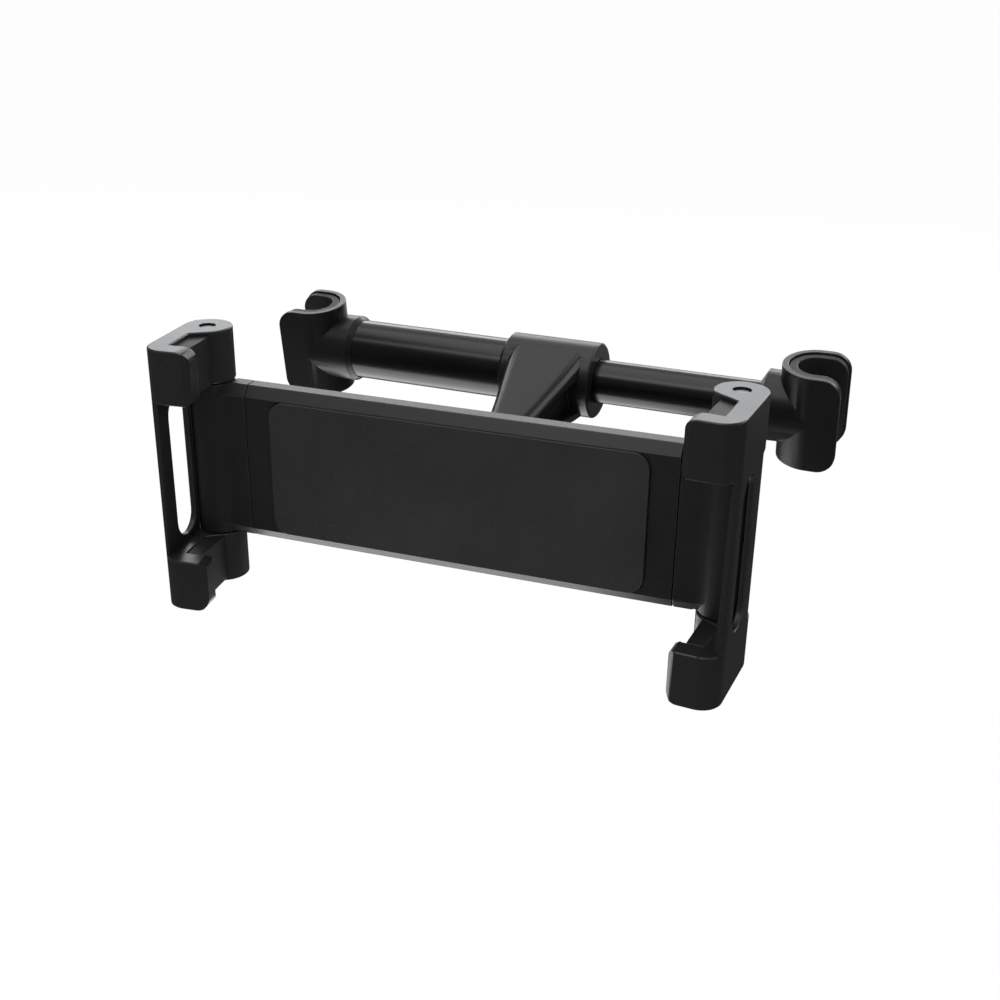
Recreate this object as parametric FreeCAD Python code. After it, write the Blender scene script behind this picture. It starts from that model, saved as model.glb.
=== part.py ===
import FreeCAD, Part
import math
import os

V = FreeCAD.Vector
os.makedirs("parts", exist_ok=True)

# All lengths are in mm. The origin is the centre of the front face of the pad.
# X is to the right, Y is away from the user, Z is up.

# Long enough for a cut to pass right through any piece
THROUGH = 120.0

# Clamp body
BODY_HALF_LENGTH = 54.6
BODY_HALF_HEIGHT = 20.33
BODY_DEPTH = 7.8
BEVEL_HEIGHT = 2.68
BEVEL_DEPTH = 2.06
FLAT_HALF_HEIGHT = BODY_HALF_HEIGHT - BEVEL_HEIGHT
PAD_PROUD = 0.7
PAD_RECESS = 0.5
PAD_END_MARGIN = 6.72
PAD_EDGE_MARGIN = 0.15
PAD_HALF_LENGTH = BODY_HALF_LENGTH - PAD_END_MARGIN
PAD_HALF_HEIGHT = FLAT_HALF_HEIGHT - PAD_EDGE_MARGIN
PAD_CORNER = 4.0
PAD_GAP = 0.2
PAD_EDGE_GAP = 0.1
WALL = 1.3
CAVITY_MARGIN = 0.35
CAVITY_HALF_HEIGHT = FLAT_HALF_HEIGHT - CAVITY_MARGIN
CAVITY_CHAMFER = 1.2
SIDE_WALL = 1.43
CAVITY_WIDE = BODY_HALF_HEIGHT - SIDE_WALL
BODY_FRONT = PAD_PROUD
BODY_BACK = BODY_FRONT + BODY_DEPTH
PIN_Y = BODY_FRONT + BODY_DEPTH / 2
SEAM_Y = BODY_BACK - BEVEL_DEPTH
INNER_FRONT = BODY_FRONT + WALL
INNER_BACK = BODY_BACK - WALL
END_BLOCK = 1.64

# Ribs of the front shell
RIB_PLACES = (-30.0, -12.0, 12.0, 30.0)
RIB_WIDTH = 1.2
RIB_START = 14.0
RIB_OVERLAP = 0.1

# Screws of the cover and their bosses
SCREW_X = BODY_HALF_LENGTH - 7.6
SCREW_Z = CAVITY_HALF_HEIGHT - 1.7
SCREW_SHANK = 1.0
SCREW_HEAD = 1.9
SCREW_CLEARANCE = 0.1
SCREW_SINK = 0.15
SCREW_TIP = 0.6
BOSS_WALL = 1.0
BOSS_SPLIT = PIN_Y

# Fork plates of the arms
PLATE_THICKNESS = 2.4
PLATE_GAP = 0.2
PLATE_LIFT = 0.1
PLATE_HALF_HEIGHT = CAVITY_HALF_HEIGHT - 4.3
PLATE_REACH = BODY_HALF_LENGTH - 4.6
WINDOW_END = 8.6
WINDOW_MARGIN = 0.6
RAIL_CLEARANCE = 0.3
RAIL_WIDTH = 1.2

# Rack and pinion
MODULE = 1.0
PINION_TEETH = 12
PRESSURE_ANGLE = 20.0
PITCH_RADIUS = MODULE * PINION_TEETH / 2
ADDENDUM = 0.85
DEDENDUM = 1.2
TOOTH_SHARE = 0.40
PINION_BORE = 1.55
PINION_PIN_RADIUS = 1.5
PINION_PIN_LAND = 1.2
PINION_PIN_SET_BACK = 0.1
HUB_RADIUS = 3.0
HUB_GAP = 0.3

# Return spring and its drum
DRUM_OUTER = 10.4
DRUM_INNER = 8.9
DRUM_DEPTH = 4.3
SPRING_STRIP = 0.4
SPRING_PITCH = 1.15
SPRING_TURNS = 4.5
SPRING_GAP = 0.3
SPRING_END_GAP = 0.5
SPRING_FIT = 0.02

# Jaw in its own frame, with the pin at its origin
JAW_HALF_HEIGHT = 33.66
BLOCK_START = BODY_HALF_HEIGHT
MIDDLE_HALF_HEIGHT = BODY_HALF_HEIGHT
BOSS_RADIUS = 6.12
BOSS_BLEND_ANGLE = 111.0
WEB_OUTER = 6.2
WEB_INNER = 1.2
WEB_ROOT = -7.6
LIP_FRONT = -23.05
LIP_BACK = -17.7
LIP_END = -5.78
LIP_CORNER = 3.0
LIP_NOSE = 1.5
LIP_INNER_CORNER = 1.8
OUTER_CORNER = 5.2
JAW_TOE_IN = 5.34
SLOT_FRONT = -14.8
SLOT_BACK = -4.6
SLOT_HALF_HEIGHT = 18.7
SLOT_SLANT = 0.915
SLOT_LEAD = 2.0
INSERT_FACE = -3.05
INSERT_BACK = -3.0
INSERT_SET_BACK = 1.0
INSERT_GAP = 0.1
JAW_PIN_RADIUS = 1.65
PIN_SET_BACK = 0.45
PIN_HEAD_RECESS = 0.8
PIN_HEAD_BORE = 2.1

# Arm head and barrel
PIN_X = BODY_HALF_LENGTH + 11.4
HEAD_GAP = 0.2
HEAD_END = PIN_X - BOSS_RADIUS - 0.48
BARREL_RADIUS = 5.8
BARREL_CLEARANCE = BARREL_RADIUS + 0.35
BARREL_HALF_HEIGHT = BLOCK_START - 0.38
BARREL_BORE = JAW_PIN_RADIUS + 0.05
BARREL_BLEND = 6.0
HEAD_RIB = 4.0

# Ball joint
BALL_Y = 21.95
BALL_RADIUS = 7.5
LINER_INNER = 7.6
LINER_OUTER = 8.8
LINER_HALF_WIDTH = 4.0
CUP_SPHERE = 9.0
CUP_OUTER = 11.0
CUP_END = 21.0
CUP_FLOOR = 14.0
CUP_RIM = 1.2
CUP_WEB = 0.8
CUP_WEB_START = 8.0
CUP_WEB_END = 15.0
CUP_WEB_HEIGHT = 3.0
NUT_START = 15.4
NUT_SHOULDER = 22.0
NUT_END = 30.1
NUT_OUTER = 13.2
NUT_END_RADIUS = 9.7
NUT_BORE = CUP_OUTER + 0.3
NUT_END_GAP = 0.4
NUT_MOUTH = 6.1
NUT_FLARE = 7.0
FLUTES = 10
FLUTE_RADIUS = 1.5
FLUTE_OFFSET = 0.7
STUD_NECK = 3.5
STUD_SHANK = 3.0
STUD_SHANK_LENGTH = 13.0

# Bar: its own frame has X along the bar and Z along the posts
REST_TILT = 8.46
REST_TURN = -2.45
ARM_REACH = 52.65
BALL_DROP = 0.66
OUTER_TUBE_RADIUS = 8.54
OUTER_TUBE_WALL = 1.2
OUTER_TUBE_BORE = OUTER_TUBE_RADIUS - OUTER_TUBE_WALL
OUTER_TUBE_END = 9.4
INNER_TUBE_RADIUS = 6.08
INNER_TUBE_WALL = 1.1
INNER_TUBE_START = -14.0
LEFT_POST_X = -75.6
RIGHT_POST_X = 73.3
RUNNING_FIT = 0.05
MOUTH_SLEEVE = 6.0
STOP_GAP = 0.1
GUIDE_BORE = 3.0
GUIDE_CAP = 1.5

# Collar and its arm
COLLAR_RADIUS = 10.6
COLLAR_LEFT = -12.56
COLLAR_LEFT_END = -13.7
COLLAR_LEFT_RADIUS = 9.0
COLLAR_RIGHT = 12.9
COLLAR_RIGHT_END = 13.3
COLLAR_RIGHT_RADIUS = 10.2
COLLAR_LIP = 1.2
MOUTH_GAP = 0.12
ARM_NECK_GAP = 11.1
# Stations of the arm from the neck to the collar: y, half width, underside z, top z, corner radius
ARM_STATIONS = [
    (-ARM_REACH + ARM_NECK_GAP, 4.8, -5.3, 3.4, 3.4),
    (-28.0, 7.1, -6.0, 5.3, 3.4),
    (-18.5, 8.9, -7.4, 7.1, 3.5),
    (-9.1, 10.7, -9.4, 8.9, 3.6),
    (-2.4, 12.0, -9.8, 10.2, 3.6)]
POCKET = [(-10.2, 4.6), (-10.2, -5.6), (-29.5, -2.2), (-29.5, 2.6)]
POCKET_DEPTH = 2.6

# Hooks, their liners and the sockets that the tubes are pushed into
HOOK_RADIUS = 9.3
HOOK_WALL = 1.75
HOOK_HALF_HEIGHT = 13.35
HOOK_REACH = 7.46
HOOK_CORNER = 5.0
LINER_GAP = 0.12
LINER_THROAT = 5.2
LINER_SET_BACK = 0.4
SOCKET_MOUTH_RADIUS = 9.6
SOCKET_LEFT_MOUTH = -61.9
SOCKET_RIGHT_MOUTH = 60.4
SOCKET_LIP = 1.5
SOCKET_DEPTH = 4.0
LEFT_LIP_WALL = 0.15
RIGHT_LIP_WALL = 0.9

# Set screws
SET_SCREW_X = -5.0
SET_SCREW_RADIUS = 1.5
HOOK_SCREW_INSET = 2.0
HOOK_SCREW_RADIUS = 1.25
HEX_SHARE = 0.5
HEX_DEPTH = 1.2
SET_SCREW_SINK = 0.3

# Compression spring in the bar
SPRING_WIRE = 1.1
SPRING_RADIUS = 5.6
BAR_SPRING_TURNS = 6
BAR_SPRING_FIT = 0.05

# Flats in one quarter turn where a rounded form is drawn as a polygon
QUARTER_FLATS = 4
BALL_FLATS = 3
ARM_FLATS = 3
SPRING_FLATS = 4


def box(x0, x1, y0, y1, z0, z1):
    return Part.makeBox(x1 - x0, y1 - y0, z1 - z0, V(x0, y0, z0))


def rod(radius, start, end):
    a = V(*start)
    b = V(*end)
    return Part.makeCylinder(radius, (b - a).Length, a, b - a)


def cone(r0, r1, start, end):
    a = V(*start)
    b = V(*end)
    return Part.makeCone(r0, r1, (b - a).Length, a, b - a)


def plan_prism(points, z0, z1):
    wire = Part.makePolygon([V(x, y, z0) for x, y in points + points[:1]])
    return Part.Face(wire).extrude(V(0, 0, z1 - z0))


def end_prism(points, x0, x1):
    wire = Part.makePolygon([V(x0, y, z) for y, z in points + points[:1]])
    return Part.Face(wire).extrude(V(x1 - x0, 0, 0))


def front_prism(points, y0, y1):
    wire = Part.makePolygon([V(x, y0, z) for x, z in points + points[:1]])
    return Part.Face(wire).extrude(V(0, y1 - y0, 0))


# Solid of revolution about the Y axis, from points of radius and y
def turned(points):
    wire = Part.makePolygon([V(r, y, 0) for r, y in points + points[:1]])
    return Part.Face(wire).revolve(V(0, 0, 0), V(0, 1, 0), 360)


def fuse_all(shapes):
    result = shapes[0].fuse(shapes[1:]) if len(shapes) > 1 else shapes[0]
    return result.removeSplitter()


def mirror(shape):
    return shape.mirror(V(0, 0, 0), V(1, 0, 0))


def export(shape, node):
    shape.exportStep("parts/" + node + ".step")


# Bevelled outline of the clamp body, seen along X; proud carries the bevels on in front and behind
def body_outline(proud=0.0):
    slope = BEVEL_HEIGHT / BEVEL_DEPTH
    low = FLAT_HALF_HEIGHT - proud * slope
    front = BODY_FRONT - proud
    back = BODY_BACK + proud
    return [
        (front, -low), (BODY_FRONT + BEVEL_DEPTH, -BODY_HALF_HEIGHT),
        (BODY_BACK - BEVEL_DEPTH, -BODY_HALF_HEIGHT), (back, -low),
        (back, low), (BODY_BACK - BEVEL_DEPTH, BODY_HALF_HEIGHT),
        (BODY_FRONT + BEVEL_DEPTH, BODY_HALF_HEIGHT), (front, low)]


SCREW_PLACES = [(x, z) for x in (-SCREW_X, SCREW_X) for z in (-SCREW_Z, SCREW_Z)]


# Soft pad in its shallow recess
def rounded_plate(half_x, half_z, corner, y0, y1):
    plate = box(-half_x, half_x, y0, y1, -half_z, half_z)
    upright = [e for e in plate.Edges if abs(e.tangentAt(e.FirstParameter).y) > 0.9]
    return plate.makeFillet(corner, upright)


def tablet_pad():
    return rounded_plate(PAD_HALF_LENGTH, PAD_HALF_HEIGHT, PAD_CORNER, 0, PAD_PROUD + PAD_RECESS)


# Front shell: bevelled front, hollow for the two plates, guide rails and screw bosses
def front_shell():
    whole = end_prism(body_outline(), -BODY_HALF_LENGTH, BODY_HALF_LENGTH)
    front = whole.common(box(-THROUGH, THROUGH, 0, SEAM_Y, -THROUGH, THROUGH))
    hollow = end_prism(
        [(INNER_FRONT, -CAVITY_HALF_HEIGHT), (INNER_FRONT + CAVITY_CHAMFER, -CAVITY_WIDE), (SEAM_Y, -CAVITY_WIDE),
         (SEAM_Y, CAVITY_WIDE), (INNER_FRONT + CAVITY_CHAMFER, CAVITY_WIDE), (INNER_FRONT, CAVITY_HALF_HEIGHT)],
        -BODY_HALF_LENGTH, BODY_HALF_LENGTH)
    shell = front.cut(hollow)
    recess = rounded_plate(PAD_HALF_LENGTH + PAD_GAP, PAD_HALF_HEIGHT + PAD_EDGE_GAP, PAD_CORNER,
                           0, PAD_PROUD + PAD_RECESS)
    shell = shell.cut(recess)
    rails = []
    ribs = []
    for side in (-1, 1):
        z0 = PLATE_HALF_HEIGHT + RAIL_CLEARANCE
        low, high = sorted((side * z0, side * (z0 + RAIL_WIDTH)))
        rails.append(box(-BODY_HALF_LENGTH, BODY_HALF_LENGTH, INNER_FRONT, SEAM_Y, low, high))
        low, high = sorted((side * RIB_START, side * (CAVITY_WIDE + RIB_OVERLAP)))
        for x in RIB_PLACES:
            ribs.append(box(x - RIB_WIDTH / 2, x + RIB_WIDTH / 2, INNER_FRONT, SEAM_Y, low, high))
    boss = SCREW_SHANK + BOSS_WALL
    bosses = [rod(boss, (x, INNER_FRONT, z), (x, BOSS_SPLIT, z)) for x, z in SCREW_PLACES]
    shell = fuse_all([shell] + rails + bosses + ribs)
    for x, z in SCREW_PLACES:
        shell = shell.cut(rod(SCREW_HEAD + BOSS_WALL / 2, (x, BOSS_SPLIT, z), (x, THROUGH, z)))
        shell = shell.cut(rod(SCREW_SHANK, (x, INNER_FRONT + SCREW_TIP / 2, z), (x, THROUGH, z)))
    return shell.cut(rod(PINION_PIN_RADIUS, (0, 0, 0), (0, INNER_FRONT + WALL, 0)))


# Cavity for the liner of the ball, with flats that keep clear of a sphere
def cup_cavity(y0, y1):
    step = math.radians(90.0 / BALL_FLATS)
    outer = CUP_SPHERE / math.cos(step / 2)
    points = []
    for k in range(-BALL_FLATS, BALL_FLATS + 1):
        angle = step * k
        points.append((outer * math.cos(angle), BALL_Y + outer * math.sin(angle)))
    points[0] = (0.0, points[0][1])
    points[-1] = (0.0, points[-1][1])
    return turned(points).common(box(-THROUGH, THROUGH, y0, y1, -THROUGH, THROUGH))


# Rear cover: plate, drum for the spring and cup of the joint
def rear_cover():
    whole = end_prism(body_outline(), -BODY_HALF_LENGTH, BODY_HALF_LENGTH)
    cover = whole.common(box(-THROUGH, THROUGH, SEAM_Y, THROUGH, -THROUGH, THROUGH))
    cover = cover.cut(box(-THROUGH, THROUGH, 0, INNER_BACK, -CAVITY_HALF_HEIGHT, CAVITY_HALF_HEIGHT))
    drum_floor = INNER_BACK + DRUM_DEPTH
    parts = [cover, rod(DRUM_OUTER, (0, INNER_BACK, 0), (0, CUP_FLOOR, 0)),
             rod(CUP_OUTER, (0, CUP_FLOOR - CUP_RIM, 0), (0, CUP_END, 0))]
    for angle in range(45, 360, 90):
        web = box(-CUP_WEB, CUP_WEB, INNER_BACK, BODY_BACK + CUP_WEB_HEIGHT, CUP_WEB_START, CUP_WEB_END)
        web.rotate(V(0, 0, 0), V(0, 1, 0), angle)
        parts.append(web)
    for x, z in SCREW_PLACES:
        parts.append(rod(SCREW_HEAD + SCREW_CLEARANCE * 3, (x, BOSS_SPLIT, z), (x, INNER_BACK, z)))
    cover = fuse_all(parts)
    cover = cover.cut(rod(DRUM_INNER, (0, 0, 0), (0, drum_floor, 0)))
    cover = cover.cut(cup_cavity(CUP_FLOOR, THROUGH))
    cover = cover.cut(rod(PINION_PIN_RADIUS, (0, 0, 0), (0, drum_floor + PINION_PIN_LAND, 0)))
    for x, z in SCREW_PLACES:
        cover = cover.cut(rod(SCREW_SHANK + SCREW_CLEARANCE / 2, (x, 0, z), (x, BODY_BACK + WALL, z)))
        cover = cover.cut(rod(SCREW_HEAD + SCREW_CLEARANCE, (x, INNER_BACK, z), (x, BODY_BACK + WALL, z)))
    ends = []
    for side in (-1, 1):
        low, high = sorted((side * (PLATE_HALF_HEIGHT + RAIL_CLEARANCE), side * CAVITY_WIDE))
        for x in (-BODY_HALF_LENGTH, BODY_HALF_LENGTH):
            x0, x1 = sorted((x, x - math.copysign(END_BLOCK, x)))
            ends.append(box(x0, x1, SEAM_Y, INNER_BACK, low, high))
    return fuse_all([cover] + ends)


def cover_screws():
    screws = []
    head_face = BODY_BACK - SCREW_SINK
    for x, z in SCREW_PLACES:
        screw = rod(SCREW_SHANK, (x, INNER_FRONT + SCREW_TIP, z), (x, INNER_BACK, z))
        screws.append(screw.fuse(rod(SCREW_HEAD, (x, INNER_BACK, z), (x, head_face, z))))
    return Part.makeCompound(screws)


# Straight-sided rack teeth that point down at the pinion
def rack_teeth(x0, x1, y0, y1):
    pitch = math.pi * MODULE
    slope = math.tan(math.radians(PRESSURE_ANGLE))
    tip = TOOTH_SHARE * pitch / 2 - slope * ADDENDUM
    root = TOOTH_SHARE * pitch / 2 + slope * DEDENDUM
    teeth = []
    for k in range(math.floor(x0 / pitch), math.ceil(x1 / pitch)):
        x = pitch * (k + 0.5)
        if x - root < x0 or x + root > x1:
            continue
        points = [(x - tip, PITCH_RADIUS - ADDENDUM), (x + tip, PITCH_RADIUS - ADDENDUM),
                  (x + root, PITCH_RADIUS + DEDENDUM), (x - root, PITCH_RADIUS + DEDENDUM)]
        teeth.append(front_prism(points, y0, y1))
    return teeth


# Twelve-tooth pinion with involute flanks, and the hub that carries the spring
def sync_pinion():
    pressure_angle = math.radians(PRESSURE_ANGLE)
    base = PITCH_RADIUS * math.cos(pressure_angle)
    tip = PITCH_RADIUS + ADDENDUM
    root = PITCH_RADIUS - DEDENDUM
    inv_pitch = math.tan(pressure_angle) - pressure_angle
    half = TOOTH_SHARE * math.pi / PINION_TEETH
    flank = []
    for k in range(QUARTER_FLATS + 1):
        r = base + (tip - base) * k / QUARTER_FLATS
        pressure = math.acos(base / r)
        flank.append((r, half + inv_pitch - (math.tan(pressure) - pressure)))
    flank = [(root, flank[0][1])] + flank
    points = []
    for k in range(PINION_TEETH):
        middle = 2 * math.pi * k / PINION_TEETH
        for r, a in flank:
            points.append((r * math.cos(middle - a), r * math.sin(middle - a)))
        for r, a in reversed(flank):
            points.append((r * math.cos(middle + a), r * math.sin(middle + a)))
    y0 = INNER_FRONT + PLATE_GAP
    y1 = INNER_BACK - PLATE_GAP
    gear = front_prism(points, y0, y1)
    hub = rod(HUB_RADIUS, (0, y1, 0), (0, INNER_BACK + DRUM_DEPTH - HUB_GAP, 0))
    gear = gear.fuse(hub).cut(rod(PINION_BORE, (0, 0, 0), (0, THROUGH, 0)))
    return gear.removeSplitter()


def pinion_pin():
    return rod(PINION_PIN_RADIUS, (0, PAD_PROUD + PAD_RECESS + PINION_PIN_SET_BACK, 0),
               (0, INNER_BACK + DRUM_DEPTH + PINION_PIN_LAND - PINION_PIN_SET_BACK, 0))


# Flat spiral spring from the hub outwards
def return_spring():
    steps = 4 * QUARTER_FLATS
    inner = []
    outer = []
    for k in range(int(SPRING_TURNS * steps) + 1):
        angle = 2 * math.pi * k / steps
        r = (HUB_RADIUS + SPRING_FIT) / math.cos(math.pi / steps) + SPRING_PITCH * k / steps
        inner.append((r * math.cos(angle), r * math.sin(angle)))
        r = r + SPRING_STRIP
        outer.append((r * math.cos(angle), r * math.sin(angle)))
    return front_prism(inner + outer[::-1], INNER_BACK + SPRING_GAP, INNER_BACK + DRUM_DEPTH - SPRING_END_GAP)


# Fork plate of the left arm; the right one is the same turned over
def fork_plate():
    y0 = INNER_FRONT + PLATE_LIFT
    y1 = y0 + PLATE_THICKNESS
    plate = box(-HEAD_END, PLATE_REACH, y0, y1, -PLATE_HALF_HEIGHT, PLATE_HALF_HEIGHT)
    clear = PITCH_RADIUS + DEDENDUM
    window = box(-WINDOW_END, THROUGH, 0, THROUGH, -clear - WINDOW_MARGIN, clear)
    return fuse_all([plate.cut(window)] + rack_teeth(-WINDOW_END, PLATE_REACH, y0, y1))


# Bevelled head of the left arm, which runs into the barrel in one hollow curve on each side
def arm_head():
    inner = -(BODY_HALF_LENGTH + HEAD_GAP)
    rise = PIN_Y - BODY_FRONT
    reach = BARREL_BLEND + BARREL_RADIUS
    blend_x = -PIN_X + math.sqrt(reach ** 2 - (rise + BARREL_BLEND) ** 2)
    touch = BARREL_RADIUS / reach
    touch_x = -PIN_X + (blend_x + PIN_X) * touch
    end_angle = math.atan2(rise + BARREL_BLEND, blend_x + PIN_X)
    front = []
    for k in range(QUARTER_FLATS + 1):
        angle = math.pi / 2 - (math.pi / 2 - end_angle) * k / QUARTER_FLATS
        front.append((blend_x - BARREL_BLEND * math.cos(angle),
                      BODY_FRONT - BARREL_BLEND + BARREL_BLEND * math.sin(angle)))
    profile = [(inner, BODY_FRONT)] + front + [(-PIN_X, front[-1][1])]
    back = [(x, 2 * PIN_Y - y) for x, y in profile]
    plan = plan_prism(profile + back[::-1], -BODY_HALF_HEIGHT, BODY_HALF_HEIGHT)
    bevelled = plan.common(end_prism(body_outline(BARREL_RADIUS - rise), -PIN_X, inner))
    low_part = box(-THROUGH, -HEAD_END, -THROUGH, THROUGH, -BARREL_HALF_HEIGHT, BARREL_HALF_HEIGHT)
    high_part = box(-HEAD_END, THROUGH, -THROUGH, THROUGH, -THROUGH, THROUGH)
    bevelled = bevelled.common(fuse_all([low_part, high_part]))
    barrel = rod(BARREL_RADIUS, (-PIN_X, PIN_Y, -BARREL_HALF_HEIGHT), (-PIN_X, PIN_Y, BARREL_HALF_HEIGHT))
    return fuse_all([bevelled, barrel])


def left_arm():
    arm = fuse_all([arm_head(), fork_plate()])
    rib = box(-BODY_HALF_LENGTH - HEAD_GAP, -BODY_HALF_LENGTH + HEAD_RIB, INNER_FRONT + PLATE_LIFT,
              INNER_FRONT + PLATE_LIFT + PLATE_THICKNESS, -PLATE_HALF_HEIGHT, PLATE_HALF_HEIGHT)
    arm = fuse_all([arm, rib])
    return arm.cut(rod(BARREL_BORE, (-PIN_X, PIN_Y, -THROUGH), (-PIN_X, PIN_Y, THROUGH)))


# The right arm is the left one turned half a turn about the axis of the pinion pin
def right_arm():
    arm = left_arm()
    arm.translate(V(0, -PIN_Y, 0))
    arm.rotate(V(0, 0, 0), V(0, 0, 1), 180)
    arm = arm.mirror(V(0, 0, 0), V(0, 0, 1))
    arm.translate(V(0, PIN_Y, 0))
    return arm


# Jaw in its own frame: pin at the origin, x outwards, y back
def jaw_plan():
    c = OUTER_CORNER
    half_turn = math.sqrt(0.5)
    y_corner = LIP_FRONT + c
    bend = V(WEB_OUTER - c + c * half_turn, y_corner - c * half_turn, 0)
    lip_start = V(LIP_END + LIP_NOSE, LIP_FRONT, 0)
    blend = math.radians(BOSS_BLEND_ANGLE)
    boss = V(BOSS_RADIUS * math.cos(blend), -BOSS_RADIUS * math.sin(blend), 0)
    edges = [
        Part.makeLine(V(BOSS_RADIUS, 0, 0), V(WEB_OUTER, y_corner, 0)),
        Part.Arc(V(WEB_OUTER, y_corner, 0), bend, V(WEB_OUTER - c, LIP_FRONT, 0)).toShape(),
        Part.makeLine(V(WEB_OUTER - c, LIP_FRONT, 0), lip_start),
        Part.makeLine(lip_start, V(LIP_END, LIP_FRONT + LIP_NOSE, 0)),
        Part.makeLine(V(LIP_END, LIP_FRONT + LIP_NOSE, 0), V(LIP_END, LIP_BACK, 0)),
        Part.makeLine(V(LIP_END, LIP_BACK, 0), V(WEB_INNER, LIP_BACK, 0)),
        Part.makeLine(V(WEB_INNER, LIP_BACK, 0), V(WEB_INNER, WEB_ROOT, 0)),
        Part.makeLine(V(WEB_INNER, WEB_ROOT, 0), boss),
        Part.Arc(boss, V(-BOSS_RADIUS, 0, 0), V(0, BOSS_RADIUS, 0)).toShape(),
        Part.Arc(V(0, BOSS_RADIUS, 0), V(BOSS_RADIUS * half_turn, BOSS_RADIUS * half_turn, 0),
                 V(BOSS_RADIUS, 0, 0)).toShape()]
    return Part.Face(Part.Wire(edges))


def jaw_block(z0, z1):
    block = jaw_plan()
    block.translate(V(0, 0, z0))
    return block.extrude(V(0, 0, z1 - z0))


# Corner of a lip that is rounded in front view
def round_lip(block, z_edge, z_in, radius):
    corner = box(LIP_END - radius, LIP_END + radius, -THROUGH, 0, min(z_edge, z_in), max(z_edge, z_in))
    keep = rod(radius, (LIP_END + radius, -THROUGH, z_in), (LIP_END + radius, 0, z_in))
    lip_zone = box(LIP_END - radius, LIP_END + 2 * radius, -THROUGH, LIP_BACK, -THROUGH, THROUGH)
    return block.cut(corner.cut(keep).common(lip_zone))


def jaw():
    upper = jaw_block(BLOCK_START, JAW_HALF_HEIGHT)
    upper = round_lip(upper, JAW_HALF_HEIGHT, JAW_HALF_HEIGHT - LIP_CORNER, LIP_CORNER)
    upper = round_lip(upper, BLOCK_START, BLOCK_START + LIP_INNER_CORNER, LIP_INNER_CORNER)
    lower = upper.mirror(V(0, 0, 0), V(0, 0, 1))
    middle = jaw_block(-MIDDLE_HALF_HEIGHT, MIDDLE_HALF_HEIGHT)
    middle = middle.common(box(WEB_INNER, THROUGH, -THROUGH, 0, -THROUGH, THROUGH))
    middle = middle.cut(rod(BARREL_CLEARANCE, (0, 0, -THROUGH), (0, 0, THROUGH)))
    body = fuse_all([upper, lower, middle])
    radius = (SLOT_BACK - SLOT_FRONT) / 2
    centre = (SLOT_BACK + SLOT_FRONT) / 2
    tip = SLOT_HALF_HEIGHT - radius
    ring = [
        Part.makeLine(V(0, centre - radius, -tip), V(0, centre - radius, tip)),
        Part.Arc(V(0, centre - radius, tip), V(0, centre, tip + radius), V(0, centre + radius, tip)).toShape(),
        Part.makeLine(V(0, centre + radius, tip), V(0, centre + radius, -tip)),
        Part.Arc(V(0, centre + radius, -tip), V(0, centre, -tip - radius),
                 V(0, centre - radius, -tip)).toShape()]
    face = Part.Face(Part.Wire(ring))
    run = WEB_OUTER - WEB_INNER + 2 * SLOT_LEAD
    face.translate(V(WEB_OUTER + SLOT_LEAD, SLOT_LEAD * SLOT_SLANT, 0))
    body = body.cut(face.extrude(V(-run, -run * SLOT_SLANT, 0)))
    body = body.cut(rod(JAW_PIN_RADIUS, (0, 0, -THROUGH), (0, 0, THROUGH)))
    for side in (-1, 1):
        body = body.cut(rod(PIN_HEAD_BORE, (0, 0, side * (JAW_HALF_HEIGHT - PIN_HEAD_RECESS)),
                            (0, 0, side * THROUGH)))
    return body.removeSplitter()


# Rubber insert of a pocket
def insert(body, side):
    low, high = sorted((side * (BLOCK_START + INSERT_GAP), side * (JAW_HALF_HEIGHT - INSERT_SET_BACK)))
    block = box(INSERT_FACE, WEB_INNER, LIP_BACK, INSERT_BACK, low, high)
    block = block.cut(body)
    block = block.cut(rod(BOSS_RADIUS, (0, 0, -THROUGH), (0, 0, THROUGH)))
    return max(block.Solids, key=lambda s: s.Volume)


def jaw_pin():
    end = JAW_HALF_HEIGHT - PIN_SET_BACK
    return rod(JAW_PIN_RADIUS, (0, 0, -end), (0, 0, end))


def place_jaw(shape, side):
    placed = shape.copy()
    placed.rotate(V(0, 0, 0), V(0, 0, 1), -JAW_TOE_IN)
    placed.translate(V(PIN_X, PIN_Y, 0))
    if side < 0:
        placed = mirror(placed)
    return placed


# Nylon shell round the ball, with flats inside and out
def ball_liner():
    step = math.atan2(LINER_HALF_WIDTH, math.sqrt(LINER_INNER ** 2 - LINER_HALF_WIDTH ** 2))
    reach = LINER_OUTER * math.cos(math.asin(LINER_HALF_WIDTH / LINER_OUTER))
    inside = LINER_INNER / math.cos(step / 2)
    mouth = inside * math.cos(step)
    end = inside * math.sin(step)
    return turned([
        (mouth, BALL_Y - end), (inside, BALL_Y), (mouth, BALL_Y + end),
        (reach, BALL_Y + end), (LINER_OUTER, BALL_Y), (reach, BALL_Y - end)])


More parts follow.
